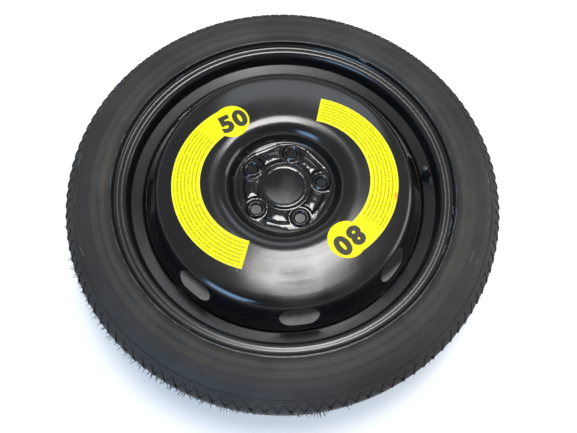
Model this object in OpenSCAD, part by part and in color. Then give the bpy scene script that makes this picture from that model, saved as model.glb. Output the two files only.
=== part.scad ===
// Compact temporary spare wheel, lying flat with its outer side up.
// Origin: on the wheel axis, in the rim's centre plane. +Z runs along the axis to the outer side.

/* [Rim] */
// Width between the flanges' inner faces
rim_w = 88.9; // [80:0.1:110]
// Radius of the bead seat at the flange
seat_r = 231; // [210:0.5:250]
// Slope of the bead seat, in degrees
seat_slope = 5; // [3:0.5:7]
// Height of the flange above the bead seat
flange_h = 17.3; // [14:0.1:20]
// Depth of the flange curl along the axis
flange_w = 13; // [11:0.5:15]
// Radius of the flange curl, on the tyre's side
curl_r = 9.5; // [7:0.5:10]
// Radius between the flange and the bead seat
heel_r = 6.5; // [5:0.5:8]
// Thickness of the rim sheet
rim_t = 2.4; // [1.8:0.1:3]
// Height of the safety hump above the seat's inner end
hump_h = 1.3; // [0.8:0.1:2]
// Distance of the safety hump's foot from the flange
hump_at = 16.5; // [15:0.5:20]
// Depth of the well below the bead seat
well_depth = 17.6; // [15:0.1:20]
// Slope of the ledge that carries the valve, in degrees
ledge_tilt = 21; // [16:1:30]
// Depth of the valve's seat on the ledge below the flange's inner face
ledge_drop = 24.85; // [20.45:0.05:28.45]

/* [Disc] */
// Distance from the rim's centre plane to the mounting face
inset = 25.5; // [18:0.5:32]
// Thickness of the disc sheet
disc_t = 4; // [3:0.1:5]
// Radius of the centre bore
bore_r = 28.55; // [26:0.05:32]
// Height of the rolled ring round the bore
ring_h = 1.8; // [1:0.1:3]
// Outer radius of the rolled ring's top
ring_r = 34.5; // [33:0.1:36]
// Radius of the hub area's rounded outline midway between the bolts
hub_r = 67.5; // [66:0.5:70]
// Radius of that outline at the bolts
hub_corner_r = 72.5; // [70:0.5:74]
// Height of the step along that outline
hub_step = 1.3; // [0.8:0.1:2]
// Radius where the bowl starts to rise
bowl_r = 73.2; // [72.5:0.1:78]
// Radius of the crown's inner shoulder
crown_in_r = 110.8; // [104:0.1:118]
// Radius of the crown's highest line
crown_mid_r = 146; // [138:1:154]
// Run of the flank from the crown's outer shoulder out to the skirt
flank_run = 26.9; // [22:0.1:33]
// Height of the crown's inner shoulder above the hub area
crown_h = 26.5; // [22:0.5:30]
// Rise of the crown from its inner shoulder to its highest line
crown_rise = 1; // [0:0.1:2]
// Fall of the crown from its inner to its outer shoulder
crown_fall = 2; // [0:0.1:3]
// Bend radius of the crown's inner shoulder
crown_in_bend = 23; // [14:1:30]
// Bend radius of the crown's outer shoulder
crown_out_bend = 19; // [10:1:22]
// Slope of the disc's outer flank, in degrees
flank_slope = 55; // [50:1:60]
// Height of the skirt's lower edge, measured from the centre plane
skirt_z = -7; // [-8:0.5:0]
// Least height of the skirt, which a long flank leaves for its bend and the weld
skirt_least = 12; // [10:0.5:16]

/* [Bolts and vents] */
// Number of wheel bolts
bolt_count = 5; // [4:1:5]
// Diameter of the bolt circle
bolt_circle = 112; // [108:1:114.3]
// Angle of the first bolt
bolt_angle = 9.3; // [0:0.1:20]
// Radius of the bolt hole
bolt_hole_r = 7.5; // [6.5:0.1:8]
// Radius of the ball seat
ball_r = 13; // [12:0.5:14]
// Height of the collar round a bolt hole
collar_h = 3.5; // [2:0.1:4.5]
// Radius of the collar's top
collar_r = 11.6; // [11:0.1:13]
// Radius of the collar's foot
collar_foot_r = 15.5; // [14:0.1:16.5]
// Height of the raised pads between the bolts
pad_h = 4.5; // [3:0.1:5.5]
// Inner radius of a pad's foot
pad_in_r = 39; // [38:0.1:41]
// Outer radius of a pad's foot
pad_out_r = 62; // [60:0.1:64]
// Number of ventilation holes
vent_count = 8; // [6:1:10]
// Angle of the first ventilation hole
vent_angle = 9; // [0:1:44]
// Length of a ventilation hole round the wheel
vent_w = 55; // [40:1:60]
// Height of a ventilation hole along the flank
vent_h = 32; // [24:1:34]

/* [Welds] */
// Angle that each weld bead covers
weld_span = 26; // [18:1:34]
// Leg of the weld bead
weld_leg = 3.8; // [3:0.1:4]

/* [Tyre] */
// Radius over the tread
tyre_r = 316; // [308:0.5:322]
// Width over the sidewalls
tyre_w = 125; // [122:0.5:132]
// Width of the tread
tread_w = 90; // [84:1:96]
// Depth of the tread grooves
tread_depth = 6; // [4:0.1:7]
// Thickness of rubber and belts under the grooves
belt_t = 6; // [5:0.1:9]
// Thickness of the sidewall
wall_t = 7; // [5:0.1:9]
// Width of the two grooves that run round the tread
long_groove_w = 7; // [4:0.5:9]
// Distance of those grooves from the tread's middle
long_groove_z = 15; // [12:0.5:18]
// Number of tread pitches round the tyre
pitch_count = 40; // [30:1:44]
// Width of the wide shoulder groove
wide_slot_w = 4.4; // [3:0.1:6]
// Width of the narrow shoulder groove
fine_slot_w = 2.6; // [2:0.1:4]
// Slant of the shoulder grooves, in degrees
slot_slant = 12; // [0:1:20]
// Place of the narrow groove within a pitch, as a share of it
fine_slot_share = 0.42; // [0.35:0.01:0.5]
// Height of the moulded ribs on the sidewall
rib_h = 0.7; // [0.4:0.1:1]

/* [Valve] */
// Angle of the valve round the wheel
valve_angle = 8.5; // [0:0.5:20]
// Distance from the well's radius out to the valve's place on the ledge
valve_out = 6.6; // [2.6:0.1:10.6]
// Radius of the valve hole in the rim
valve_hole_r = 5.75; // [5.6:0.05:6.2]
// Length of the stem above the ledge
stem_up = 32; // [30:0.5:36]
// Length of the valve below the ledge
stem_down = 9; // [8:0.5:11]
// Radius over the stem's thread
stem_r = 3.85; // [3.7:0.05:4]
// Height of the rubber above the ledge
rubber_up = 20.5; // [17:0.5:21]
// Radius of the rubber's bulge
bulge_r = 7; // [6.5:0.1:7.2]
// Radius of the rubber's head inside the tyre
head_r = 7.1; // [6.8:0.1:7.2]
// Radius of the valve cap
cap_r = 5.1; // [4.9:0.1:6]
// Length of the valve cap
cap_len = 13; // [12:0.5:15]
// Thickness of the cap's closed end
cap_end = 1.8; // [1.4:0.1:2.4]
// Number of grip ribs on the cap
cap_ribs = 14; // [10:1:18]
// Thickness of the seal in the cap
cap_seal_t = 1.2; // [0.8:0.1:1.6]

/* [Valve core] */
// Radius of the air bore through the stem
air_r = 1.9; // [1.7:0.05:2]
// Radius over the core plug's thread
plug_r = 2.6; // [2.5:0.05:2.8]
// Length of the core plug
plug_len = 4.5; // [4:0.1:6]
// Length of the core barrel
barrel_len = 9.5; // [8:0.1:11]
// Outer radius of the core barrel
barrel_r = 1.7; // [1.6:0.05:1.8]
// Inner radius of the core barrel
barrel_bore_r = 1.25; // [1.2:0.05:1.3]
// Radius of the core pin
pin_r = 0.45; // [0.4:0.05:0.5]
// Travel of the core pin
pin_travel = 1; // [0.6:0.1:1.4]
// Radius of the spring wire
wire_r = 0.14; // [0.12:0.01:0.16]
// Number of spring turns
spring_turns = 7; // [5:1:8]

/* [Labels] */
// Thickness of the vinyl labels
label_t = 0.3; // [0.2:0.05:0.5]
// Outer radius of a label's arc
label_out_r = 136.3; // [130:0.1:138]
// Inner radius of a label's arc
label_in_r = 95.5; // [92:0.1:100]
// Angle that a label's arc covers
label_span = 137.3; // [120:0.1:145]
// Radius of the label's round end
label_end_r = 27; // [24:0.5:28]
// Distance of the round end from the arc's centre
label_end_at = 111; // [108:0.5:114]
// Centre of the right label's arc
label_right_at = [28.5, 4.7];
// Angle of the right label's square end
label_right_angle = 81.1; // [60:0.1:100]
// Centre of the left label's arc
label_left_at = [-25.6, -3.2];
// Angle of the left label's square end
label_left_angle = 259.6; // [240:0.1:280]

/* [Clearances] */
// Gap between curved seats
seat_gap = 0.3; // [0.2:0.05:0.4]
// Gap in the small valve fits
fine_gap = 0.05; // [0.03:0.01:0.08]

/* [Hidden] */
$fn = 96;
// Largest angle between neighbouring points of a bend
bend_step = 11;
// Length by which a cutting solid passes the faces that it cuts
over = 1;

// Rim stations, on the tyre's side of the sheet
flange_z = rim_w / 2;
ledge_z = flange_z - ledge_drop;
lip_r = seat_r + flange_h;
lip_z = flange_z + flange_w;
well_r = seat_r - well_depth;
valve_r = well_r + valve_out;
ledge_rise = tan(ledge_tilt);
ledge_back_z = ledge_z - rim_t / cos(ledge_tilt);
hump_foot_z = flange_z - hump_at;
hump_r = seat_at(hump_foot_z) + hump_h;
hump_z = ledge_back_at(hump_r);
well_z = ledge_back_at(well_r);
inner_well_r = well_r - rim_t;

// Disc stations, on the visible side of the sheet
hub_z = inset + disc_t;
crown_z = hub_z + crown_h;
crown_out_z = crown_z - crown_fall;
skirt_r = inner_well_r - seat_gap;
crown_out_r = skirt_r - flank_run;
flank_z = max(skirt_z + skirt_least, crown_out_z - flank_run * tan(flank_slope));
flank_tilt = atan((crown_out_z - flank_z) / flank_run);
bolt_r = bolt_circle / 2;
vent_mid_r = crown_out_r + flank_run / 2;
vent_mid_z = (crown_out_z + flank_z) / 2;
// Depth to which pads and collars run into the sheet that carries them
sink = 0.5;
crown_mid_bend = 420;
ring_slope = 3;
// Outer radius of the ring that fills the bowl's foot round the hub area's outline
hub_edge_r = bowl_r + 1.6 * hub_step;
pad_slope = 4;
pad_clear_r = 17.5;
// Growth of a pad's concave ends from its foot to its top
pad_flare = 2.5;
recess_slope = 3;
recess_clear_r = 21.5;
// Depth of a bolt's ball seat below its collar's top
seat_depth = 2.6;
bolt_chamfer = 2;

// Valve heights, measured along the valve's axis from the ledge
cap_top = stem_up + cap_seal_t + cap_end;
cap_foot = cap_top - cap_len;
cap_thread_r = stem_r + 2 * fine_gap;
plug_top = stem_up - 0.6;
plug_foot = plug_top - plug_len;
barrel_top = plug_foot - fine_gap;
barrel_foot = barrel_top - barrel_len;
gasket_foot = barrel_top - barrel_len * 0.42;
gasket_top = barrel_top - barrel_len * 0.16;
gasket_r = plug_r - 0.25;
chamber_foot = barrel_foot - pin_travel - 3;
collar_top = barrel_top - pin_travel * 0.4;
floor_t = 0.8;
pin_collar_t = 0.5;
seal_t = 0.6;
cup_t = 0.9;

function seat_at(z) = seat_r - (flange_z - z) * tan(seat_slope);
// Radius at a share of the sidewall's height, from the rim's lip to the tread
function wall_at(share) = lip_r + share * wall_h;
function ledge_back_at(r) = ledge_back_z + (r - valve_r) * ledge_rise;

function unit(v) = v / norm(v);
function left(v) = [-v[1], v[0]];
function turned(v, a) = [v[0] * cos(a) - v[1] * sin(a), v[0] * sin(a) + v[1] * cos(a)];
function turn(a, b) = atan2(a[0] * b[1] - a[1] * b[0], a[0] * b[0] + a[1] * b[1]);
function backwards(list) = [for (i = [len(list) - 1:-1:0]) list[i]];
function mirrored(list) = [for (p = list) [p[0], -p[1]]];

// Points of one bend of a path, moved to its left by side
function bend(p0, p1, p2, r, side) =
    let (
        along = unit(p1 - p0),
        angle = turn(along, unit(p2 - p1)),
        way = sign(angle),
        centre = p1 - along * r * tan(abs(angle) / 2) + left(along) * way * r,
        steps = r == 0 ? 0 : max(2, ceil(abs(angle) / bend_step))
    )
    steps == 0
        ? [p1]
        : [for (i = [0:steps]) centre + turned(left(along), angle * i / steps) * (side - way * r)];

// The radii of a path's bends, each limited by the straight stretches that it and its neighbours share
function fitted(path, radii) =
    let (
        last = len(path) - 1,
        runs = [for (i = [1:last]) norm(path[i] - path[i - 1])],
        half_turns = [
            for (i = [1:last - 1]) abs(turn(path[i] - path[i - 1], path[i + 1] - path[i])) / 2
        ],
        needs = concat([0], [for (i = [0:last - 2]) radii[i] * tan(half_turns[i])], [0])
    )
    [
        for (i = [1:last - 1])
            let (before = needs[i - 1] + needs[i], after = needs[i] + needs[i + 1])
            radii[i - 1] * min(
                1,
                before > runs[i - 1] ? runs[i - 1] / before : 1,
                after > runs[i] ? runs[i] / after : 1
            )
    ];

// One side of a bent path: the corners are rounded with radii, and the line is moved to its left
function side_of(path, wanted_radii, side) =
    let (last = len(path) - 1, radii = fitted(path, wanted_radii))
    concat(
        [path[0] + left(unit(path[1] - path[0])) * side],
        [for (i = [1:last - 1]) each bend(path[i - 1], path[i], path[i + 1], radii[i - 1], side)],
        [path[last] + left(unit(path[last] - path[last - 1])) * side]
    );

// Closed outline of a sheet whose left face is the path
function sheet(path, radii, t) =
    concat(side_of(path, radii, 0), backwards(side_of(path, radii, -t)));

// Rim sheet, from one lip to the other
rim_half = [
    [lip_r, lip_z], [lip_r, flange_z], [seat_r, flange_z],
    [seat_at(hump_foot_z), hump_foot_z], [hump_r, hump_z], [well_r, well_z]
];
rim_half_bends = [curl_r, heel_r, 8, 3, 2.5];
rim_path = concat(rim_half, backwards(mirrored(rim_half)));
rim_bends = concat(rim_half_bends, backwards(rim_half_bends));

// Disc sheet, from the bore to the skirt's lower edge
crown_path = [[crown_in_r, crown_z], [crown_mid_r, crown_z + crown_rise], [crown_out_r, crown_out_z]];
crown_bends = [crown_in_bend, crown_mid_bend, crown_out_bend];
disc_path = concat(
    [
        [bore_r, hub_z + ring_h], [ring_r, hub_z + ring_h], [ring_r + ring_slope, hub_z], [bowl_r, hub_z]
    ],
    crown_path,
    [[skirt_r, flank_z], [skirt_r, skirt_z]]
);
disc_bends = concat([4.5, 4.5, 12], crown_bends, [10]);
// The hub area's outline: circles towards the bolts, joined by straight sides
hub_lobe_at = (hub_corner_r - hub_r) / (1 - cos(180 / bolt_count));
hub_lobe_r = hub_corner_r - hub_lobe_at;

// Tyre section: the outer line of one half, from the bead toe to the tread's middle
wall_h = tyre_r - lip_r;
toe_z = hump_foot_z + 2.5;
wall_z = tyre_w / 2;
shoulder_z = tread_w / 2;
tread_drop = 1.6;
edge_drop = 5;
wall_bend = 0.236 * wall_h;
tyre_half = [
    [seat_at(toe_z) + seat_gap, toe_z],
    [seat_r + seat_gap, flange_z - seat_gap],
    [lip_r + seat_gap, flange_z - seat_gap],
    [lip_r + seat_gap, lip_z - 0.8],
    [wall_at(0.096), wall_z - 1.8],
    [wall_at(0.192), wall_z - 0.6],
    [wall_at(0.236), wall_z - 1.4],
    [wall_at(0.34), wall_z - 0.4],
    [wall_at(0.355), wall_z],
    [wall_at(0.391), wall_z],
    [wall_at(0.406), wall_z - 0.4],
    [wall_at(0.572), wall_z - 1.2],
    [wall_at(0.727), wall_z - 5.6],
    [wall_at(0.737), wall_z - 5.6 + rib_h],
    [wall_at(0.755), wall_z - 6.4 + rib_h],
    [wall_at(0.761), wall_z - 7.2],
    [tyre_r - edge_drop - 3, shoulder_z + 5.5],
    [tyre_r - edge_drop + 2, shoulder_z - 1],
    [tyre_r - tread_drop + 0.6, shoulder_z * 0.6],
    [tyre_r, long_groove_z + long_groove_w / 2],
    [tyre_r - tread_depth, long_groove_z + long_groove_w / 2 - 0.8],
    [tyre_r - tread_depth, long_groove_z - long_groove_w / 2 + 0.8],
    [tyre_r, long_groove_z - long_groove_w / 2]
];
tyre_half_bends = [
    heel_r - seat_gap, curl_r + seat_gap, 1.2, 2, 2, 2.5, 3, 0, 0, 6, wall_bend, 0, 0, 0, 0, 8, 4, 60,
    0, 0, 0
];
// Inner line of the same half, from the bead toe to the middle
tyre_inner_half = [
    [seat_at(toe_z) + seat_gap, toe_z],
    [seat_r + 9.5, toe_z + 3.5],
    [lip_r + 2, flange_z + 0.5],
    [wall_at(0.133), wall_z - wall_t - 1.5],
    [wall_at(0.355), wall_z - wall_t],
    [wall_at(0.645), wall_z - wall_t - 4],
    [tyre_r - tread_depth - belt_t - 1.5, shoulder_z - 5],
    [tyre_r - tread_depth - belt_t, shoulder_z * 0.45]
];
tyre_inner_bends = [5, 8, 8, wall_bend, wall_bend, 10];
slot_floor_r = tyre_r - tread_depth - 0.8;
slot_in_z = long_groove_z + long_groove_w / 2 + 2.5;
slot_len = shoulder_z + 10 - slot_in_z;
slot_mid_z = slot_in_z + slot_len / 2;

module revolve(points) {
    rotate_extrude() polygon(points);
}

module round_bolts() {
    for (i = [0:bolt_count - 1])
        rotate([0, 0, bolt_angle + i * 360 / bolt_count])
            translate([bolt_r, 0, 0])
                children();
}

module at_valve() {
    rotate([0, 0, valve_angle])
        translate([valve_r, 0, ledge_z])
            rotate([0, -ledge_tilt, 0])
                children();
}

// One groove across the tread's shoulder, cut from above
module shoulder_slot(w, side) {
    cut_h = 30;
    translate([slot_floor_r + cut_h / 2, 0, side * slot_mid_z])
        rotate([side * slot_slant, 0, 0])
            cube([cut_h, w, slot_len], center = true);
}

module tyre() {
    color([0.11, 0.11, 0.11])
    difference() {
        revolve(concat(
            side_of(tyre_half, tyre_half_bends, 0),
            backwards(mirrored(side_of(tyre_half, tyre_half_bends, 0))),
            mirrored(side_of(tyre_inner_half, tyre_inner_bends, 0)),
            backwards(side_of(tyre_inner_half, tyre_inner_bends, 0))
        ));
        for (i = [0:pitch_count - 1], side = [-1, 1])
            rotate([0, 0, (i + (side + 1) / 4) * 360 / pitch_count]) {
                shoulder_slot(wide_slot_w, side);
                rotate([0, 0, fine_slot_share * 360 / pitch_count])
                    shoulder_slot(fine_slot_w, side);
            }
    }
}

module rim() {
    color([0.07, 0.07, 0.075])
    difference() {
        revolve(sheet(rim_path, rim_bends, rim_t));
        at_valve()
            translate([0, 0, -rim_t - over])
                cylinder(r = valve_hole_r, h = rim_t + 2 * over);
    }
}

// Raised pads between the bolts, with concave ends that keep clear of the bolt collars
module pads(in_r, out_r, foot_z, top_z, slope, clear_r) {
    difference() {
        revolve([
            [in_r, foot_z], [out_r, foot_z], [out_r - slope, top_z], [in_r + 1.2 * slope, top_z]
        ]);
        round_bolts()
            translate([0, 0, foot_z - over])
                cylinder(r1 = clear_r, r2 = clear_r + pad_flare, h = top_z - foot_z + 2 * over);
    }
}

// The hub area's rounded outline, moved outwards by grow
module hub_outline(grow) {
    steps = 6;
    polygon([
        for (i = [0:bolt_count - 1], k = [-steps:steps])
            let (a = bolt_angle + i * 360 / bolt_count, b = a + k / steps * 180 / bolt_count)
            hub_lobe_at * [cos(a), sin(a)] + (hub_lobe_r + grow) * [cos(b), sin(b)]
    ]);
}

module vent_cutter() {
    straight = vent_w - vent_h;
    depth = 5 * disc_t;
    rotate([0, flank_tilt, 0])
        translate([0, 0, -depth / 2])
            linear_extrude(depth)
                union() {
                    square([vent_h, straight], center = true);
                    for (side = [-1, 1])
                        translate([0, side * straight / 2]) circle(d = vent_h);
                }
}

module wheel_disc() {
    color([0.06, 0.06, 0.065])
    difference() {
        union() {
            revolve(sheet(disc_path, disc_bends, disc_t));
            difference() {
                translate([0, 0, hub_z - sink])
                    cylinder(r = hub_edge_r, h = hub_step + sink);
                translate([0, 0, hub_z - sink - over])
                    linear_extrude(hub_step + sink + 2 * over) hub_outline(0);
                translate([0, 0, hub_z + hub_step / 2])
                    linear_extrude(hub_step) hub_outline(1);
            }
            pads(pad_in_r, pad_out_r, hub_z - sink, hub_z + pad_h, pad_slope, pad_clear_r);
            round_bolts()
                translate([0, 0, hub_z - sink])
                    cylinder(r1 = collar_foot_r, r2 = collar_r, h = collar_h + sink);
        }
        pads(
            pad_in_r + recess_slope, pad_out_r - recess_slope, inset - over, inset + pad_h,
            recess_slope, recess_clear_r
        );
        round_bolts() {
            translate([0, 0, inset - over])
                cylinder(r = bolt_hole_r, h = disc_t + collar_h + 2 * over);
            translate([0, 0, hub_z + collar_h - seat_depth])
                translate([0, 0, sqrt(ball_r * ball_r - bolt_hole_r * bolt_hole_r)])
                    sphere(r = ball_r);
            translate([0, 0, inset - over])
                cylinder(
                    r1 = bolt_hole_r + 2 * bolt_chamfer, r2 = bolt_hole_r, h = bolt_chamfer + over
                );
        }
        for (i = [0:vent_count - 1])
            rotate([0, 0, vent_angle + i * 360 / vent_count])
                translate([vent_mid_r, 0, vent_mid_z])
                    vent_cutter();
    }
}

module weld_beads() {
    bead_r = inner_well_r - fine_gap;
    color([0.09, 0.09, 0.09])
    for (i = [0:vent_count - 1])
        rotate([0, 0, vent_angle + (i + 0.5) * 360 / vent_count - weld_span / 2])
            rotate_extrude(angle = weld_span)
                polygon([
                    [bead_r, skirt_z], [bead_r, skirt_z - weld_leg],
                    [bead_r - weld_leg * 0.45, skirt_z - weld_leg * 0.75],
                    [bead_r - weld_leg * 0.8, skirt_z - weld_leg * 0.4],
                    [bead_r - weld_leg, skirt_z]
                ]);
}

module valve_rubber() {
    hold_r = valve_hole_r - fine_gap;
    below = -rim_t - seat_gap;
    color([0.08, 0.08, 0.08])
    at_valve()
        revolve([
            [stem_r + fine_gap, -stem_down], [stem_r + 1.2, -stem_down], [head_r - 0.8, below - 3.4],
            [head_r, below - 2.2], [head_r, below - 0.5], [head_r - 0.5, below],
            [hold_r, below], [hold_r, seat_gap], [bulge_r - 0.6, seat_gap], [bulge_r, seat_gap + 0.8],
            [bulge_r, rubber_up * 0.26], [bulge_r - 0.5, rubber_up * 0.34],
            [stem_r + 2.2, rubber_up * 0.5], [stem_r + 1.5, rubber_up * 0.6],
            [stem_r + 1.2, rubber_up - 0.8], [stem_r + 0.6, rubber_up], [stem_r + fine_gap, rubber_up]
        ]);
}

module valve_stem() {
    color([0.75, 0.6, 0.3])
    at_valve()
        revolve([
            [air_r, -stem_down], [stem_r, -stem_down], [stem_r, stem_up - 0.6],
            [stem_r - 0.6, stem_up], [plug_r + fine_gap, stem_up],
            [plug_r + fine_gap, gasket_top + 0.3], [gasket_r + fine_gap, gasket_top],
            [gasket_r - 0.15 + fine_gap, gasket_foot], [barrel_r + 0.35, gasket_foot - 0.6],
            [barrel_r + 0.35, chamber_foot],
            [air_r, chamber_foot - 0.6]
        ]);
}

module core_plug() {
    flat_t = 1.5;
    color([0.8, 0.66, 0.34])
    at_valve()
        difference() {
            translate([0, 0, plug_foot]) cylinder(r = plug_r, h = plug_len);
            translate([0, 0, plug_foot - over])
                cylinder(r = pin_r + 0.45, h = plug_len + 2 * over);
            for (side = [-1, 1])
                translate([side * (flat_t + plug_r / 2), 0, plug_top])
                    cube([plug_r, 4 * plug_r, 3.2], center = true);
        }
}

module core_barrel() {
    groove_r = barrel_bore_r + 0.25;
    color([0.78, 0.64, 0.33])
    at_valve()
        revolve([
            [pin_r + fine_gap, barrel_foot], [barrel_r, barrel_foot], [barrel_r, gasket_foot],
            [groove_r, gasket_foot], [groove_r, gasket_top], [barrel_r + 0.3, gasket_top],
            [barrel_r + 0.3, barrel_top], [barrel_bore_r, barrel_top],
            [barrel_bore_r, barrel_foot + floor_t], [pin_r + fine_gap, barrel_foot + floor_t]
        ]);
}

module core_gasket() {
    color([0.75, 0.2, 0.15])
    at_valve()
        revolve([
            [barrel_bore_r + 0.25 + fine_gap, gasket_foot + fine_gap],
            [gasket_r - 0.15, gasket_foot + fine_gap], [gasket_r, gasket_top - fine_gap],
            [barrel_bore_r + 0.25 + fine_gap, gasket_top - fine_gap]
        ]);
}

// Coil of round wire, swept ring by ring along a helix
module coil(r, foot, top, turns, wire, around, sides) {
    count = turns * around;
    rise = (top - foot - 2 * wire) / count;
    ring_points = [
        for (i = [0:count], k = [0:sides - 1])
            let (a = i * 360 / around, b = k * 360 / sides, at = r + wire * cos(b))
            [at * cos(a), at * sin(a), foot + wire + i * rise + wire * sin(b)]
    ];
    faces = concat(
        [[for (k = [0:sides - 1]) k]],
        [for (i = [0:count - 1], k = [0:sides - 1]) each [
            [i * sides + k, (i + 1) * sides + k, (i + 1) * sides + (k + 1) % sides],
            [i * sides + k, (i + 1) * sides + (k + 1) % sides, i * sides + (k + 1) % sides]
        ]],
        [[for (k = [sides - 1:-1:0]) count * sides + k]]
    );
    polyhedron(ring_points, faces);
}

module core_spring() {
    color([0.7, 0.7, 0.72])
    at_valve()
        coil((pin_r + barrel_bore_r) / 2, barrel_foot + floor_t + fine_gap / 2,
            collar_top - pin_collar_t - fine_gap / 2, spring_turns, wire_r, 14, 6);
}

module core_pin() {
    color([0.8, 0.68, 0.38])
    at_valve()
        revolve([
            [0, barrel_foot - fine_gap - seal_t - cup_t], [pin_r, barrel_foot - fine_gap - seal_t - cup_t],
            [pin_r, collar_top - pin_collar_t], [barrel_bore_r - 2 * fine_gap, collar_top - pin_collar_t],
            [barrel_bore_r - 2 * fine_gap, collar_top], [pin_r, collar_top],
            [pin_r, stem_up - 0.45], [pin_r - 0.15, stem_up - 0.3], [0, stem_up - 0.3]
        ]);
}

module core_seal() {
    top = barrel_foot - fine_gap;
    color([0.15, 0.15, 0.15])
    at_valve()
        revolve([
            [pin_r + fine_gap, top - seal_t], [barrel_r - 0.15, top - seal_t],
            [barrel_r - 0.15, top], [pin_r + fine_gap, top]
        ]);
}

module core_cup() {
    top = barrel_foot - fine_gap - seal_t;
    color([0.78, 0.64, 0.33])
    at_valve()
        revolve([
            [pin_r + fine_gap, top - cup_t], [pin_r + 0.4, top - cup_t],
            [barrel_r, top - cup_t + 0.4], [barrel_r, top + seal_t * 0.5],
            [barrel_r - 0.1, top + seal_t * 0.5], [barrel_r - 0.1, top], [pin_r + fine_gap, top]
        ]);
}

module valve_cap() {
    color([0.1, 0.1, 0.1])
    at_valve()
        difference() {
            union() {
                revolve([
                    [0, cap_foot], [cap_r - 0.2, cap_foot], [cap_r, cap_foot + 0.4],
                    [cap_r, cap_foot + 1.6], [cap_r - 0.35, cap_foot + 1.9],
                    [cap_r - 0.45, cap_top - 1.4], [cap_r - 1.1, cap_top - 0.3],
                    [cap_r - 1.8, cap_top], [0, cap_top]
                ]);
                for (i = [0:cap_ribs - 1])
                    rotate([0, 0, i * 360 / cap_ribs])
                        translate([cap_r - 0.55, -0.4, cap_foot + 1.7])
                            cube([0.5, 0.8, cap_len - 4.4]);
            }
            translate([0, 0, cap_foot - over])
                cylinder(r = cap_thread_r, h = cap_len - cap_end + over);
        }
}

module cap_seal() {
    color([0.2, 0.2, 0.2])
    at_valve()
        translate([0, 0, stem_up + fine_gap])
            cylinder(r = cap_thread_r - fine_gap, h = cap_seal_t - 2 * fine_gap);
}

// A label's outline: an arc with a square end at angle 0 and a round end at the other
module label_outline() {
    wedge_r = 2 * label_out_r;
    intersection() {
        difference() {
            circle(r = label_out_r);
            circle(r = label_in_r);
        }
        polygon(concat(
            [[0, 0]],
            [for (i = [0:8]) wedge_r * [cos(-label_span * i / 8), sin(-label_span * i / 8)]]
        ));
    }
    rotate([0, 0, -label_span]) translate([label_end_at, 0]) circle(r = label_end_r);
}

// The label's skin lies on the crown and follows its bends
module label_on_disc(at, angle) {
    bowl_foot = [bowl_r, hub_z];
    bowl_share = 0.6;
    flank_share = 0.28;
    crown_in = crown_path[0];
    crown_out = crown_path[2];
    path = concat(
        [crown_in + bowl_share * (bowl_foot - crown_in)],
        crown_path,
        [crown_out + flank_share * ([skirt_r, flank_z] - crown_out)]
    );
    intersection() {
        revolve(concat(
            side_of(path, crown_bends, label_t + fine_gap),
            backwards(side_of(path, crown_bends, fine_gap))
        ));
        translate([at[0], at[1], hub_z])
            rotate([0, 0, angle])
                linear_extrude(2 * crown_h)
                    label_outline();
    }
}

module yellow_label_right() {
    color([1, 0.95, 0.05]) label_on_disc(label_right_at, label_right_angle);
}

module yellow_label_left() {
    color([1, 0.95, 0.05]) label_on_disc(label_left_at, label_left_angle);
}

tyre();
rim();
wheel_disc();
weld_beads();
valve_rubber();
valve_stem();
core_plug();
core_barrel();
core_gasket();
core_spring();
core_pin();
core_cup();
core_seal();
valve_cap();
cap_seal();
yellow_label_right();
yellow_label_left();
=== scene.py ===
import math
import random

import bmesh
import bpy
from mathutils import Matrix, Vector
from mathutils.bvhtree import BVHTree


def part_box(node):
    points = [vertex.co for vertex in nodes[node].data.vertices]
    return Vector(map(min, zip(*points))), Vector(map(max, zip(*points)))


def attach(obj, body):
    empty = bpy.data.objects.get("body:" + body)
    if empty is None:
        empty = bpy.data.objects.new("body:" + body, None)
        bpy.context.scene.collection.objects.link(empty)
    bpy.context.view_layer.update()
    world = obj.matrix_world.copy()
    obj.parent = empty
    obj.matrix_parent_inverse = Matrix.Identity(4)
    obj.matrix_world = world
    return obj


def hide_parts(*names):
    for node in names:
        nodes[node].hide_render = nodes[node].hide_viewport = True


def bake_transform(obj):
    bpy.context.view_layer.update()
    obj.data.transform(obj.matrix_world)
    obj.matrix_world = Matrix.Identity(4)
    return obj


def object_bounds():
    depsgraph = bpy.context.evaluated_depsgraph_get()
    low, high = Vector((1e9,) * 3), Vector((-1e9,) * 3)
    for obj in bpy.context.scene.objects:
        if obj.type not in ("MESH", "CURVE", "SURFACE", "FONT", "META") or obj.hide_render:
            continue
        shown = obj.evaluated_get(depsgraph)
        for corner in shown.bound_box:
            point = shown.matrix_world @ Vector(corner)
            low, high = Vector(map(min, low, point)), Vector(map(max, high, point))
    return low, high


mm = 0.001
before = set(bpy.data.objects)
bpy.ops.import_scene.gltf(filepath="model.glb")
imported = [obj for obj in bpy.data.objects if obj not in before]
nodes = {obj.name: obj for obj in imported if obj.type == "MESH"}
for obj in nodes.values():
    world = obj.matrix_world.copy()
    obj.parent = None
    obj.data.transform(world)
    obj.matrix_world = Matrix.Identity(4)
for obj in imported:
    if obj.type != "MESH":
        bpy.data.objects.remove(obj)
cadBox = [list(map(float, corner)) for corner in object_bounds()]
print("frame loaded", cadBox)

mergeGap = 0.001 * mm  # points closer than this become one
rayStart = 200 * mm  # height above or below the wheel from which rays fall on it
xAxis, yAxis = Vector((1, 0, 0)), Vector((0, 1, 0))


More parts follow.
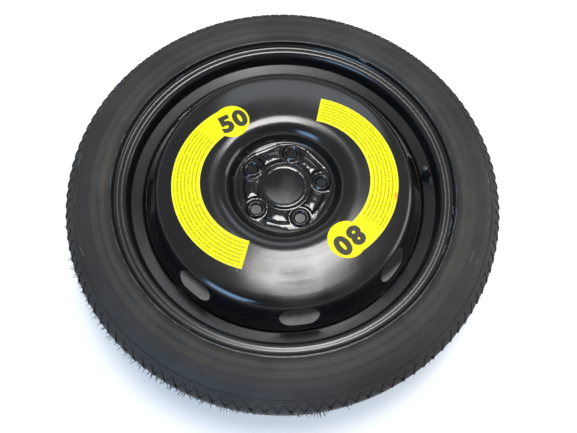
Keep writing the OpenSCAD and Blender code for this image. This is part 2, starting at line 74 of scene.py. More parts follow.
class Sock:
    # a shader socket or a plain number, usable in Python expressions
    def __init__(self, graph, out):
        self.graph = graph
        self.out = out

    def math(self, operation, *others, clamp=False):
        values = [self.out] + [o.out if isinstance(o, Sock) else o for o in others]
        settings = {"operation": operation, "use_clamp": clamp}
        node = self.graph.add("ShaderNodeMath", settings, dict(enumerate(values)))
        return Sock(self.graph, node.outputs[0])

    def __add__(self, other):
        return self.math("ADD", other)

    def __radd__(self, other):
        return self.math("ADD", other)

    def __sub__(self, other):
        return self.math("SUBTRACT", other)

    def __rsub__(self, other):
        return Sock(self.graph, other).math("SUBTRACT", self)

    def __mul__(self, other):
        return self.math("MULTIPLY", other)

    def __rmul__(self, other):
        return self.math("MULTIPLY", other)

    def __truediv__(self, other):
        return self.math("DIVIDE", other)

    def __rtruediv__(self, other):
        return Sock(self.graph, other).math("DIVIDE", self)

    def least(self, other):
        return self.math("MINIMUM", other)

    def most(self, other):
        return self.math("MAXIMUM", other)

    def size(self):
        return self.math("ABSOLUTE")

    def fract(self):
        return self.math("FRACT")

    def clamped(self):
        return self.math("ADD", 0.0, clamp=True)

    def step(self, low, high):
        # 0 below low, 1 above high, a smooth rise between
        values = {"Value": self.out, "From Min": low, "From Max": high}
        node = self.graph.add("ShaderNodeMapRange", {"interpolation_type": "SMOOTHSTEP"}, values)
        return Sock(self.graph, node.outputs[0])


class Graph:
    # the node tree of a material or of the world, with its coordinates ready
    def __init__(self, owner, shaderType="BSDF_PRINCIPLED", coordinate="Object"):
        owner.use_nodes = True
        self.owner = owner
        self.tree = owner.node_tree
        self.shader = next(n for n in self.tree.nodes if n.type == shaderType)
        self.place = self.add("ShaderNodeTexCoord").outputs[coordinate]
        split = self.add("ShaderNodeSeparateXYZ", values={0: self.place})
        self.x, self.y, self.z = (Sock(self, o) for o in split.outputs)

    def add(self, kind, settings=None, values=None):
        node = self.tree.nodes.new(kind)
        for name, value in (settings or {}).items():
            setattr(node, name, value)
        for key, value in (values or {}).items():
            self.feed(node.inputs[key], value)
        return node

    def feed(self, socket, value):
        value = value.out if isinstance(value, Sock) else value
        if isinstance(value, bpy.types.NodeSocket):
            self.tree.links.new(value, socket)
        else:
            socket.default_value = value

    def number(self, value):
        return Sock(self, value)

    def radius(self, x=0.0, y=0.0):
        dx, dy = self.x - x, self.y - y
        return (dx * dx + dy * dy).math("SQRT")

    def angle(self, x=0.0, y=0.0):
        # turns from 0 to 1 around the point, counted from -X
        return (self.y - y).math("ARCTAN2", self.x - x) / math.tau + 0.5

    def noise(self, scale, detail=3.0, roughness=0.5, stretch=None):
        place = self.place
        if stretch:
            mapped = self.add("ShaderNodeMapping", values={"Vector": place, "Scale": stretch})
            place = mapped.outputs[0]
        values = {"Vector": place, "Scale": scale, "Detail": detail, "Roughness": roughness}
        return Sock(self, self.add("ShaderNodeTexNoise", values=values).outputs["Fac"])

    def noiseAt(self, x, y, z=0.0, detail=2.0):
        place = self.add("ShaderNodeCombineXYZ", values={0: x, 1: y, 2: z}).outputs[0]
        values = {"Vector": place, "Scale": 1.0, "Detail": detail}
        return Sock(self, self.add("ShaderNodeTexNoise", values=values).outputs["Fac"])

    def cells(self, scale):
        values = {"Vector": self.place, "Scale": scale}
        return Sock(self, self.add("ShaderNodeTexVoronoi", values=values).outputs["Distance"])

    def mix(self, factor, first, second):
        colours = [(*c, 1) if isinstance(c, tuple) else c for c in (first, second)]
        values = {0: factor, 6: colours[0], 7: colours[1]}
        return self.add("ShaderNodeMix", {"data_type": "RGBA"}, values).outputs[2]

    def bump(self, height, distance, strength=1.0, normal=None):
        values = {"Height": height, "Distance": distance, "Strength": strength}
        if normal is not None:
            values["Normal"] = normal
        return self.add("ShaderNodeBump", values=values).outputs[0]

    def ring(self, r, half, soft):
        # 1 on a ring around the wheel's axis
        return 1 - (self.radius() - r).size().step(half, half + soft)

    def strokes(self, lines):
        # 1 on thin lines, each (x0, y0, x1, y1, width) in millimetres, seen along the axis
        total = self.number(0.0)
        for x0, y0, x1, y1, width in lines:
            run = Vector((x1 - x0, y1 - y0)) * mm
            dx, dy = self.x - x0 * mm, self.y - y0 * mm
            along = ((dx * run.x + dy * run.y) / run.length_squared).clamped()
            offX, offY = dx - along * run.x, dy - along * run.y
            away = (offX * offX + offY * offY).math("SQRT")
            total = total.most(1 - away.step(width * mm * 0.3, width * mm))
        return total

    def patches(self, spots):
        # soft stains, each (x, y, radius, strength) in millimetres
        total = self.number(0.0)
        for x, y, reach, strength in spots:
            total = total.most((1 - self.radius(x * mm, y * mm).step(0.0, reach * mm)) * strength)
        return total

    def rays(self):
        # camera rays, and the rays that metal and glass send out
        path = self.add("ShaderNodeLightPath").outputs
        camera, glossy, through = (
            Sock(self, path[f"Is {kind} Ray"]) for kind in ("Camera", "Glossy", "Transmission")
        )
        return camera, camera.most(glossy).most(through)

    def set(self, **values):
        for name, value in values.items():
            self.feed(self.shader.inputs[name.replace("_", " ")], value)
        return self.owner


def newGraph(name):
    return Graph(bpy.data.materials.new(name))


def dress(obj, material):
    obj.data.materials.clear()
    obj.data.materials.append(material)


def splitEdges(obj, angle):
    # edges sharper than this many degrees stay sharp under smooth shading
    split = obj.modifiers.new("edges", "EDGE_SPLIT")
    split.split_angle = math.radians(angle)
    return split


def smoothNode(name, angle):
    # a CAD node is loose triangles, so a modifier joins them before its edges are split
    obj = nodes[name]
    for face in obj.data.polygons:
        face.use_smooth = True
    weld = obj.modifiers.new("weld", "WELD")
    weld.merge_threshold = mergeGap
    splitEdges(obj, angle).use_edge_sharp = False
    return obj


def addPiece(name, bm, material, body="wheel", smooth=True):
    mesh = bpy.data.meshes.new(name)
    bm.to_mesh(mesh)
    bm.free()
    for face in mesh.polygons:
        face.use_smooth = smooth
    obj = bpy.data.objects.new(name, mesh)
    bpy.context.scene.collection.objects.link(obj)
    dress(obj, material)
    if body:
        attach(obj, body)
    return obj


def mergedCopy(nodeName):
    # a copy of a CAD node's mesh, with its triangles joined
    bm = bmesh.new()
    bm.from_mesh(nodes[nodeName].data)
    bmesh.ops.remove_doubles(bm, verts=bm.verts, dist=mergeGap)
    return bm


def rayTree(*objects):
    # one tree of the triangles of these objects, for rays
    bm = bmesh.new()
    for obj in objects:
        bm.from_mesh(obj.data)
    tree = BVHTree.FromBMesh(bm)
    bm.free()
    return tree


def polar(r, turn, z=0.0):
    # a point at radius r and angle turn, in degrees
    return Vector((r * math.cos(math.radians(turn)), r * math.sin(math.radians(turn)), z))


def dropOn(tree, point, side=1):
    # where a ray along the wheel's axis first meets the surface, and the surface's normal
    start = Vector((point.x, point.y, side * rayStart))
    hit, normal, _, _ = tree.ray_cast(start, Vector((0, 0, -side)))
    return hit, normal


def extent(bm):
    # the lowest and the highest corner of a mesh
    low = Vector([min(v.co[i] for v in bm.verts) for i in range(3)])
    high = Vector([max(v.co[i] for v in bm.verts) for i in range(3)])
    return low, high


def cutAcross(bm, axis, places):
    # new edges where planes across the axis meet the mesh, so that it can follow a curved surface
    for place in places:
        parts = bm.verts[:] + bm.edges[:] + bm.faces[:]
        bmesh.ops.bisect_plane(bm, geom=parts, plane_co=axis * place, plane_no=axis, dist=0.1 * mergeGap)


def spinOutline(bm, points, steps):
    # a ring around the wheel's axis, from the closed outline of its section as radius and height
    verts = [bm.verts.new((p.x, 0, p.y)) for p in points]
    edges = [bm.edges.new((verts[i - 1], verts[i])) for i in range(len(verts))]
    bmesh.ops.spin(bm, geom=verts + edges, cent=(0, 0, 0), axis=(0, 0, 1), dvec=(0, 0, 0),
                   angle=math.tau, steps=steps, use_merge=True)
    bmesh.ops.remove_doubles(bm, verts=bm.verts, dist=mergeGap)
    bmesh.ops.recalc_face_normals(bm, faces=bm.faces)


def layBar(bm, start, end, up, width, height):
    # a straight bar half sunk in a surface that faces up
    run = end - start
    across = up.cross(run).normalized()
    lift = run.cross(across).normalized()
    made = bmesh.ops.create_cube(bm, size=1)
    turned = Matrix((run, across * width, lift * height)).transposed().to_4x4()
    place = Matrix.Translation((start + end) / 2) @ turned
    bmesh.ops.transform(bm, matrix=place, verts=made["verts"])


def layRod(bm, start, end, startR, endR, sides, extra=0.0):
    # a closed rod between two points, longer by extra in all
    run = end - start
    made = bmesh.ops.create_cone(bm, cap_ends=True, segments=sides, radius1=startR, radius2=endR,
                                 depth=run.length + extra)
    place = Matrix.Translation((start + end) / 2) @ run.to_track_quat("Z", "Y").to_matrix().to_4x4()
    bmesh.ops.transform(bm, matrix=place, verts=made["verts"])


def layDome(bm, centre, up, r, height, detail=1):
    # a flattened ball half sunk in a surface that faces up
    made = bmesh.ops.create_icosphere(bm, subdivisions=detail, radius=1)
    turned = up.to_track_quat("Z", "Y").to_matrix().to_4x4()
    shape = Matrix.Diagonal((r, r, height, 1))
    bmesh.ops.transform(bm, matrix=Matrix.Translation(centre) @ turned @ shape, verts=made["verts"])


# materials: noises are scale, detail and roughness, bumps are depth and strength, patches are x, y,
# radius and strength, strokes are x and y of both ends and width, the last two in millimetres

# what the black dip paint of rim and disc has in common
paint = {
    "cloud": (9, 5, 0.6), "fine": (260, 4, 0.6), "grit": (1400, 2, 0.5), "edgeNoise": (25, 4, 0.7),
    "sweepTurns": 6, "sweepRings": 80, "speckScale": 330, "speckField": 30, "speckSize": (0.03, 0.13),
    "peelStrength": 0.35, "waveScale": 22, "waveHeight": 0.4 * mm, "scratchBump": (0.1 * mm, 0.5),
}
# satin on the rim, with wear on the upper lip as radius, half width and softness
rimFinish = {
    "colour": (0.0075, 0.0076, 0.0078), "dust": (0.1, 0.09, 0.075), "worn": (0.3, 0.3, 0.3),
    "rough": 0.17, "dusty": 0.12, "speckle": 0.06, "peel": 500, "peelHeight": 0.006 * mm, "wave": 0.08,
    "edgeWear": 0.5, "edge": (248.0 * mm, 0.35 * mm, 0.3 * mm), "edgeHeight": (40 * mm, 50 * mm),
    "hubGloss": 0.0,
    "patches": [(215, -85, 60, 0.1), (-40, -232, 50, 0.1), (205, 110, 50, 0.08)],
    "scratches": [
        (243, -28, 242, -40, 0.4), (240, -48, 236, -62, 0.5), (236, -66, 233, -72, 0.4),
        (-240, 60, -243, 44, 0.35), (-180, 165, -170, 176, 0.3), (110, 220, 121, 214, 0.35),
        (229, -86, 223, -100, 0.45), (-120, -213, -110, -219, 0.35),
    ],
}
# a little glossier on the disc, and most of all inside the hub's edge
discFinish = {
    "colour": (0.006, 0.0062, 0.0068), "dust": (0.13, 0.108, 0.09), "worn": (0.32, 0.32, 0.32),
    "rough": 0.1, "dusty": 0.2, "speckle": 0.12, "peel": 900, "peelHeight": 0.02 * mm, "wave": 0.2,
    "edgeWear": 0.0, "hubGloss": 0.3, "hubEdge": (68 * mm, 76 * mm),
    "patches": [(22, -148, 55, 0.4), (75, -132, 45, 0.3), (-20, -140, 45, 0.25)],
    "scratches": [
        (128, -2, 131, -9, 0.4), (139, -7, 148, -8, 0.45), (141, -13, 145, -16, 0.35),
        (-62, -128, -55, -141, 0.3), (12, -158, 24, -163, 0.3), (88, 118, 97, 109, 0.25),
        (-158, 30, -161, 16, 0.25), (60, -150, 63, -143, 0.25),
    ],
}


def paintMaterial(name, finish):
    g = newGraph(name)
    cloud, fine, grit = (g.noise(*paint[key]) for key in ("cloud", "fine", "grit"))
    # dust wiped around the wheel
    sweep = g.noiseAt(g.angle() * paint["sweepTurns"], g.radius() * paint["sweepRings"], 0.5, 4)
    patch = g.patches(finish["patches"]) * (sweep.step(0.25, 0.75) * 0.85 + fine * 0.15)
    dust = (cloud.step(0.42, 0.75) * 0.3 + fine.step(0.5, 0.8) * 0.2) * finish["dusty"]
    specks = 1 - g.cells(paint["speckScale"]).step(*paint["speckSize"])
    specks = specks * g.noise(paint["speckField"]).step(0.52, 0.68) * finish["speckle"]
    scratched = g.strokes(finish["scratches"]) * grit.step(0.3, 0.65)
    if finish["edgeWear"]:
        edge = g.ring(*finish["edge"]) * g.z.step(*finish["edgeHeight"])
        edge = edge * g.noise(*paint["edgeNoise"]).step(0.4, 0.65) * finish["edgeWear"]
        scratched = scratched.most(edge)
    dirt = (dust + patch + specks).clamped()
    colour = g.mix(scratched, g.mix(dirt, finish["colour"], finish["dust"]), finish["worn"])
    rough = finish["rough"] + cloud * 0.06 + dirt * 0.5 + fine * 0.04 + scratched * 0.25
    if finish["hubGloss"]:
        rough = rough * (1 - (1 - g.radius().step(*finish["hubEdge"])) * finish["hubGloss"])
    peel, wave = g.noise(finish["peel"], 2, 0.4), g.noise(paint["waveScale"], 2, 0.4)
    normal = g.bump(peel, finish["peelHeight"], paint["peelStrength"])
    normal = g.bump(wave, paint["waveHeight"], finish["wave"], normal)
    normal = g.bump(1 - scratched, *paint["scratchBump"], normal)
    return g.set(Base_Color=colour, Roughness=rough, Normal=normal)


rubber = {
    "colour": (0.022, 0.0208, 0.0195), "worn": (0.047, 0.045, 0.042), "dust": (0.085, 0.076, 0.062),
    "scraped": (0.35, 0.35, 0.33), "scrapeShare": 0.45, "rough": 0.48, "specular": 0.3,
    "cloud": (11, 5, 0.6), "smear": (40, 4, 0.65), "grain": (1100, 3, 0.6),
    "grainBump": (0.12 * mm, 0.35), "streakBump": (0.25 * mm, 0.3), "smearBump": (0.6 * mm, 0.25),
    # where the sidewalls begin, as height, and the dusty ring beside the rim, as radius
    "wallEdge": (46 * mm, 54 * mm),
    "ringInner": (249.5 * mm, 255.5 * mm), "ringOuter": (261.5 * mm, 268.5 * mm),
    "scrapes": [
        (293, 30, 296, 8, 0.7), (297, -2, 297, -14, 0.5), (288, -52, 285, -63, 0.6),
        (268, -106, 263, -116, 0.5), (-297, 20, -298, 2, 0.7), (-294, -40, -290, -55, 0.5),
        (-270, -118, -262, -130, 0.6), (120, 268, 131, 262, 0.6), (-60, 287, -44, 290, 0.5),
        (289, -40, 292, -30, 0.5), (257, 140, 250, 152, 0.5), (262, -96, 255, -113, 0.6),
    ],
}


def tyreMaterial():
    g = newGraph("tyreRubber")
    r = g.radius()
    cloud, smear, grain = (g.noise(*rubber[key]) for key in ("cloud", "smear", "grain"))
    # streaks run around the tyre, radial marks run across its sidewall
    streak = g.noiseAt(g.angle() * 60, r * 900, g.z * 300, 3)
    radial = g.noiseAt(g.angle() * 900, r * 25, g.z * 40, 3)
    side = g.z.size().step(*rubber["wallEdge"])
    ring = r.step(*rubber["ringInner"]) * (1 - r.step(*rubber["ringOuter"]))
    dust = ring * (cloud.step(0.35, 0.7) * 0.4 + streak.step(0.45, 0.8) * 0.25)
    marks = smear.step(0.6, 0.85) * 0.3 + radial.step(0.6, 0.85) * 0.15
    dust = (dust + marks * side).clamped()
    pale = (cloud.step(0.3, 0.75) * 0.6 + streak.step(0.5, 0.9) * 0.35).clamped()
    scrape = g.strokes(rubber["scrapes"]) * grain.step(0.35, 0.65) * side
    colour = g.mix(dust, g.mix(pale, rubber["colour"], rubber["worn"]), rubber["dust"])
    colour = g.mix(scrape * rubber["scrapeShare"], colour, rubber["scraped"])
    rough = rubber["rough"] + smear * 0.14 + dust * 0.3 + grain * 0.06
    normal = g.bump(grain, *rubber["grainBump"])
    normal = g.bump(streak, *rubber["streakBump"], normal)
    normal = g.bump(smear, *rubber["smearBump"], normal)
    return g.set(Base_Color=colour, Roughness=rough, Normal=normal,
                 Specular_IOR_Level=rubber["specular"])


vinyl = {
    "colour": (0.89, 0.84, 0.0015), "pale": (0.93, 0.9, 0.12), "ink": (0.2, 0.17, 0.004),
    "dirt": (0.45, 0.36, 0.03), "stain": (0.78, 0.28, 0.01), "rough": 0.42, "specular": 0.2,
    "numeral": (0.035, 0.032, 0.014), "numeralWorn": (0.35, 0.3, 0.03), "numeralSpecular": 0.3,
    "inkShare": 0.62, "dirtShare": 0.12, "stainShare": 0.8,
    # the ruled rows lie between two radii, inside a margin
    "innerR": 95.5 * mm, "outerR": 136.3 * mm, "margin": 3.2 * mm, "soft": 0.2 * mm,
    "rowPitch": 5.3 * mm, "rowHeight": 2.0 * mm,
    # a pale line near the edge: its distance from the edge, how it fades to both sides, and how many
    # degrees before the arc's end it stops
    "edge": 1.2 * mm, "edgeFall": (0.2 * mm, 0.6 * mm), "edgeEnd": (6, 4),
    # degrees: where the rows begin after the square end, the whole arc, where they stop before its end
    "printFrom": (1.6, 2.2), "span": 137.3, "printEnd": 24, "printFade": 3,
    # centre of the arc, angle of the square end, place and radius of a stain
    "right": {"centre": (28.5 * mm, 4.7 * mm), "end": 81.1, "stain": (163 * mm, -19 * mm, 9 * mm)},
    "left": {"centre": (-25.6 * mm, -3.2 * mm), "end": 259.6, "stain": (-118 * mm, -50 * mm, 3 * mm)},
}


def labelMaterial(name, place):
    g = newGraph(name)
    x, y = place["centre"]
    r = g.radius(x, y)
    inner, outer, margin, soft = (vinyl[key] for key in ("innerR", "outerR", "margin", "soft"))
    # degrees from the square end towards the round end
    turn = (1 - (g.angle(x, y) - 0.5 - place["end"] / 360).fract()) * 360
    inBand = r.step(inner + margin - soft, inner + margin)
    inBand = inBand * (1 - r.step(outer - margin, outer - margin + soft))
    stop = vinyl["span"] - vinyl["printEnd"]
    inSpan = turn.step(*vinyl["printFrom"]) * (1 - turn.step(stop, stop + vinyl["printFade"]))
    row = (r - inner - margin) / vinyl["rowPitch"]
    thin = vinyl["rowHeight"] / vinyl["rowPitch"]
    line = 1 - (row.fract() - 0.5).size().step(thin * 0.35, thin * 0.65)
    number = row.math("FLOOR")
    # long dashes, and a finer break of their tone
    dashes = g.noiseAt(turn * 1.6, number * 7.3, 0.5, 1).step(0.36, 0.42)
    fine = g.noiseAt(turn * 9, number * 5.1, 1.5, 1).step(0.35, 0.5)
    ruled = line * dashes * (0.6 + fine * 0.4) * inBand * inSpan
    border = (r - inner - vinyl["edge"]).size().least((outer - vinyl["edge"] - r).size())
    fromEnd, toEnd = (vinyl["span"] - degrees for degrees in vinyl["edgeEnd"])
    border = (1 - border.step(*vinyl["edgeFall"])) * (1 - turn.step(fromEnd, toEnd))
    dirt = g.noise(34, 5, 0.7).step(0.58, 0.8) * vinyl["dirtShare"]
    sx, sy, reach = place["stain"]
    spot = (1 - g.radius(sx, sy).step(reach * 0.2, reach)) * g.noise(160, 4, 0.7).step(0.3, 0.55)
    colour = g.mix(border, vinyl["colour"], vinyl["pale"])
    colour = g.mix(ruled * vinyl["inkShare"], colour, vinyl["ink"])
    colour = g.mix(dirt, colour, vinyl["dirt"])
    colour = g.mix(spot * vinyl["stainShare"], colour, vinyl["stain"])
    rough = vinyl["rough"] + g.noise(90, 3, 0.6) * 0.2 + ruled * 0.05
    normal = g.bump(g.noise(45, 2, 0.5), 0.25 * mm, 0.3)
    return g.set(Base_Color=colour, Roughness=rough, Normal=normal,
                 Specular_IOR_Level=vinyl["specular"])


def inkMaterial():
    g = newGraph("labelInk")
    wear = g.noise(500, 4, 0.7).step(0.62, 0.8)
    colour = g.mix(wear * 0.35, vinyl["numeral"], vinyl["numeralWorn"])
    return g.set(Base_Color=colour, Roughness=vinyl["rough"] + g.noise(80) * 0.15,
                 Normal=g.bump(g.noise(60, 2), 0.2 * mm, 0.25),
                 Specular_IOR_Level=vinyl["numeralSpecular"])


def metalMaterial(name, base, dark, rough, turned=True):
    # bare metal with dark stains, and the fine rings of a lathe where it is turned
    g = newGraph(name)
    stain = g.noise(900, 4, 0.6).step(0.4, 0.75)
    lathe = g.noise(4000, 2, 0.5, (0.15, 0.15, 3)) if turned else g.noise(3000, 2)
    return g.set(Base_Color=g.mix(stain * 0.6, base, dark), Metallic=1.0,
                 Roughness=rough + stain * 0.25, Normal=g.bump(lathe, 0.03 * mm, 0.35))


def plasticMaterial(name, base, pale, rough, scale):
    # plastic, rubber or thick paint that wears pale, with a grain of the given scale
    g = newGraph(name)
    wear = g.noise(scale / 8, 4, 0.65).step(0.5, 0.8)
    return g.set(Base_Color=g.mix(wear * 0.5, base, pale),
                 Roughness=rough + wear * 0.15 + g.noise(scale, 2) * 0.08,
                 Normal=g.bump(g.noise(scale, 3, 0.6), 0.05 * mm, 0.35))


rimPaint = paintMaterial("rimPaint", rimFinish)
discPaint = paintMaterial("discPaint", discFinish)
weldPaint = plasticMaterial("weldPaint", (0.012, 0.012, 0.012), (0.04, 0.037, 0.034), 0.32, 900)
tyreRubber = tyreMaterial()
valveBlack = plasticMaterial("valveRubber", (0.01, 0.01, 0.011), (0.035, 0.034, 0.032), 0.36, 1600)
capBlack = plasticMaterial("capPlastic", (0.016, 0.016, 0.017), (0.12, 0.118, 0.11), 0.34, 2200)
coreRubber = plasticMaterial("coreRubber", (0.02, 0.02, 0.02), (0.05, 0.05, 0.05), 0.5, 2500)
redGasket = plasticMaterial("redGasket", (0.4, 0.04, 0.03), (0.5, 0.1, 0.06), 0.45, 2500)
brass = metalMaterial("valveBrass", (0.62, 0.46, 0.2), (0.35, 0.24, 0.1), 0.25)
wire = metalMaterial("springWire", (0.55, 0.55, 0.56), (0.3, 0.29, 0.28), 0.22, turned=False)
rightVinyl = labelMaterial("labelRight", vinyl["right"])
leftVinyl = labelMaterial("labelLeft", vinyl["left"])
labelInk = inkMaterial()

# for each CAD node: its material, its slot, and the angle from which its edges stay sharp
finishes = {
    "tyre": (tyreRubber, "tyre_rubber", 35), "rim": (rimPaint, "rim_paint", 75),
    "wheel_disc": (discPaint, "disc_paint", 32), "weld_beads": (weldPaint, "weld_paint", 60),
    "valve_rubber": (valveBlack, "valve_rubber", 50), "valve_stem": (brass, "valve_brass", 40),
    "core_plug": (brass, "valve_brass", 35), "core_barrel": (brass, "valve_brass", 40),
    "core_gasket": (redGasket, "gasket_red", 40), "core_spring": (wire, "spring_steel", 80),
    "core_pin": (brass, "valve_brass", 40), "core_cup": (brass, "valve_brass", 40),
    "core_seal": (coreRubber, "core_rubber", 40), "valve_cap": (capBlack, "cap_plastic", 35),
    "cap_seal": (coreRubber, "core_rubber", 40),
    "yellow_label_right": (rightVinyl, "label_vinyl", 30),
    "yellow_label_left": (leftVinyl, "label_vinyl", 30),
}
for nodeName, (material, slotName, angle) in finishes.items():
    dress(smoothNode(nodeName, angle), material)
print("materials done")

# the disc's pressed edges are rounded, which gives them their thin glints
discEdges = {"width": 0.5 * mm, "segments": 2, "angle": 32}


def roundDisc():
    disc = nodes["wheel_disc"]
    rounding = disc.modifiers.new("rounding", "BEVEL")
    rounding.width = discEdges["width"]
    rounding.segments = discEdges["segments"]
    rounding.limit_method = "ANGLE"
    rounding.angle_limit = math.radians(discEdges["angle"])
    rounding.use_clamp_overlap = False
    rounding.harden_normals = True
    # after the triangles are joined and before the edges are split
    disc.modifiers.move(2, 1)


roundDisc()
print("disc's edges done")


def addSpring():
    # the spring would squash along the valve's own axis, its foot staying and its top going with the
    # pin; here it is a copy with its triangles joined, in place of the CAD node, attached to no body
    bm = mergedCopy("core_spring")
    obj = addPiece("core_spring_coil", bm, wire, body=None)
    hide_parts("core_spring")
    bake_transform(obj)


addSpring()
print("spring done")

# the bowl's wall rolls over from the crown in a long bend and is steep only near the hub: corners as
# radius and height in millimetres, the bends between them, and the line that closes it inside the sheet
bowl = {
    "corners": [
        (119.5, 56.28), (105.74, 55.89), (94.04, 53.4), (83.07, 47.06), (75.4, 30.87), (73.2, 30.87),
    ],
    "bends": [65, 36, 22, 3.2], "inside": [(73.2, 30), (119.5, 55.2)],
    "arcSteps": 8, "steps": 240, "sharp": 32,
}


def rounded(corners, bends, steps):
    # the corners joined by straight lines, with an arc of the given radius in each inner one
    points = [corners[0]]
    for before, corner, after, bend in zip(corners, corners[1:], corners[2:], bends):
        back, on = (before - corner).normalized(), (after - corner).normalized()
        half = back.angle(on) / 2
        centre = corner + (back + on).normalized() * (bend / math.sin(half))
        arm = corner + back * (bend / math.tan(half)) - centre
        turn = math.copysign(math.pi - 2 * half, on.cross(back))
        points += [centre + Matrix.Rotation(turn * k / steps, 2) @ arm for k in range(steps + 1)]
    return points + [corners[-1]]


def addBowl():
    bm = bmesh.new()
    corners = [Vector(c) * mm for c in bowl["corners"]]
    wall = rounded(corners, [b * mm for b in bowl["bends"]], bowl["arcSteps"])
    spinOutline(bm, wall + [Vector(c) * mm for c in bowl["inside"]], bowl["steps"])
    obj = addPiece("bowl_wall", bm, discPaint)
    splitEdges(obj, bowl["sharp"])
    return obj


bowlTree, discTree = rayTree(addBowl()), rayTree(nodes["wheel_disc"])
print("bowl done")

# the labels lie on the crown and reach over the bowl's wall: the step of the cuts that let them
# bend, and the radius inside which they are raised with that wall
labelSkin = {"cut": 4 * mm, "reach": 122 * mm, "sharp": 30}


def addLabel(name, nodeName, material):
    # the label's own solid, cut finely, takes the place of the CAD label's looks
    bm = mergedCopy(nodeName)
    low, high = extent(bm)
    for i, axis in enumerate((xAxis, yAxis)):
        count = int((high[i] - low[i]) / labelSkin["cut"])
        cutAcross(bm, axis, [low[i] + k * labelSkin["cut"] for k in range(1, count + 1)])
    for v in bm.verts:
        if v.co.xy.length < labelSkin["reach"]:
            top, plain = dropOn(bowlTree, v.co)[0], dropOn(discTree, v.co)[0]
            if top and plain:
                v.co.z += max(0.0, top.z - plain.z)
    obj = addPiece(name, bm, material)
    splitEdges(obj, labelSkin["sharp"])
    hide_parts(nodeName)
    return obj


rightLabel = addLabel("label_right_skin", "yellow_label_right", rightVinyl)
leftLabel = addLabel("label_left_skin", "yellow_label_left", leftVinyl)
print("labels done")

# numerals on the labels' round ends: numeral, x, y in millimetres and turn in degrees
numerals = {
    "height": 30 * mm, "widen": 1.05, "bold": 0.055, "resolution": 6, "cut": 2.5 * mm,
    "lift": 0.06 * mm, "thickness": 0.048 * mm,
    "right": [("8", 103, -81, 221.6), ("0", 85, -97, 221.6)],
    "left": [("5", -92, 85, 32), ("0", -73, 97, 32)],
}


def flatGlyph(letter):
    # one numeral as a flat mesh, 1 unit high and centred
    curve = bpy.data.curves.new("glyph", "FONT")
    curve.body = letter
    curve.offset = numerals["bold"]
    curve.resolution_u = numerals["resolution"]
    curve.fill_mode = "FRONT"
    text = bpy.data.objects.new("glyph", curve)
    bpy.context.scene.collection.objects.link(text)
    bpy.context.view_layer.update()
    mesh = bpy.data.meshes.new_from_object(text)
    bpy.data.objects.remove(text)
    bm = bmesh.new()
    bm.from_mesh(mesh)
    bpy.data.meshes.remove(mesh)
    low, high = extent(bm)
    tall = high.y - low.y
    bmesh.ops.translate(bm, verts=bm.verts, vec=-(low + high) / 2)
    bmesh.ops.scale(bm, verts=bm.verts, vec=(numerals["widen"] / tall, 1 / tall, 1))
    return bm


def addNumerals(name, label, glyphs):
    tree = rayTree(label)
    whole = bmesh.new()
    steps = int(numerals["height"] / numerals["cut"])
    for letter, x, y, turn in glyphs:
        bm = flatGlyph(letter)
        middle = Vector((x, y, 0)) * mm
        place = (Matrix.Translation(middle) @ Matrix.Rotation(math.radians(turn), 4, "Z")
                 @ Matrix.Scale(numerals["height"], 4))
        bmesh.ops.transform(bm, matrix=place, verts=bm.verts)
        for axis in (xAxis, yAxis):
            at = middle.dot(axis)
            cutAcross(bm, axis, [at + k * numerals["cut"] for k in range(-steps, steps + 1)])
        piece = bpy.data.meshes.new("glyph")
        bm.to_mesh(piece)
        bm.free()
        whole.from_mesh(piece)
        bpy.data.meshes.remove(piece)
    for v in whole.verts:
        hit, _ = dropOn(tree, v.co)
        if hit:
            v.co.z = hit.z + numerals["lift"]
    for face in whole.faces:
        if face.normal.z < 0:
            face.normal_flip()
    obj = addPiece(name, whole, labelInk, smooth=False)
    skin = obj.modifiers.new("ink", "SOLIDIFY")
    skin.thickness = numerals["thickness"]
    skin.offset = -1


addNumerals("numerals_right", rightLabel, numerals["right"])
addNumerals("numerals_left", leftLabel, numerals["left"])
print("numerals done")

# a smooth skin over the rim's flange and hump, where thin bright lines run along the bends: its
# section is felt along one ray of the wheel and evened out a few times
flange = {
    "innerR": 229.5 * mm, "outerR": 247.8 * mm, "step": 0.3 * mm, "turn": 97, "smoothing": 4,
    "lift": 0.1 * mm, "depth": 0.5 * mm, "steps": 360,
}


def addFlangeSkin():
    rimTree = rayTree(nodes["rim"])
    count = round((flange["outerR"] - flange["innerR"]) / flange["step"])
    radii = [flange["innerR"] + k * flange["step"] for k in range(count + 1)]
    heights = [dropOn(rimTree, polar(r, flange["turn"]))[0].z for r in radii]
    for _ in range(flange["smoothing"]):
        middle = [(a + 2 * b + c) / 4 for a, b, c in zip(heights, heights[1:], heights[2:])]
        heights = [heights[0]] + middle + [heights[-1]]
    top = [Vector((r, h + flange["lift"])) for r, h in zip(radii, heights)]
    under = [Vector((r, h - flange["depth"])) for r, h in zip(radii, heights)]
    bm = bmesh.new()
    spinOutline(bm, top + under[::-1], flange["steps"])
    addPiece("flange_skin", bm, rimPaint)


addFlangeSkin()
print("flange done")

# the tyre's side is felt at a few angles in degrees, half a length to each side of the radius
feeler = {"turns": (0.2, 1.7, 2.7, 6.2, 7.7), "half": 0.4 * mm}
tyreTree = rayTree(nodes["tyre"])
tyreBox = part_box("tyre")
tyreReach, tyreHalf = float(tyreBox[1][0]), float(tyreBox[1][2])


def wallPoint(r, turn, side):
    # a point on the tyre's side and its normal, beside the grooves and not in them
    half = feeler["half"]
    tops = []
    for probe in feeler["turns"]:
        inner = dropOn(tyreTree, polar(r - half, probe), side)[0]
        outer = dropOn(tyreTree, polar(r + half, probe), side)[0]
        if inner and outer:
            tops.append((side * (inner.z + outer.z) / 2, side * (outer.z - inner.z)))
    height, rise = max(tops)
    normal = (polar(-rise, turn) + Vector((0, 0, side * 2 * half))).normalized()
    return polar(r, turn, side * height), normal


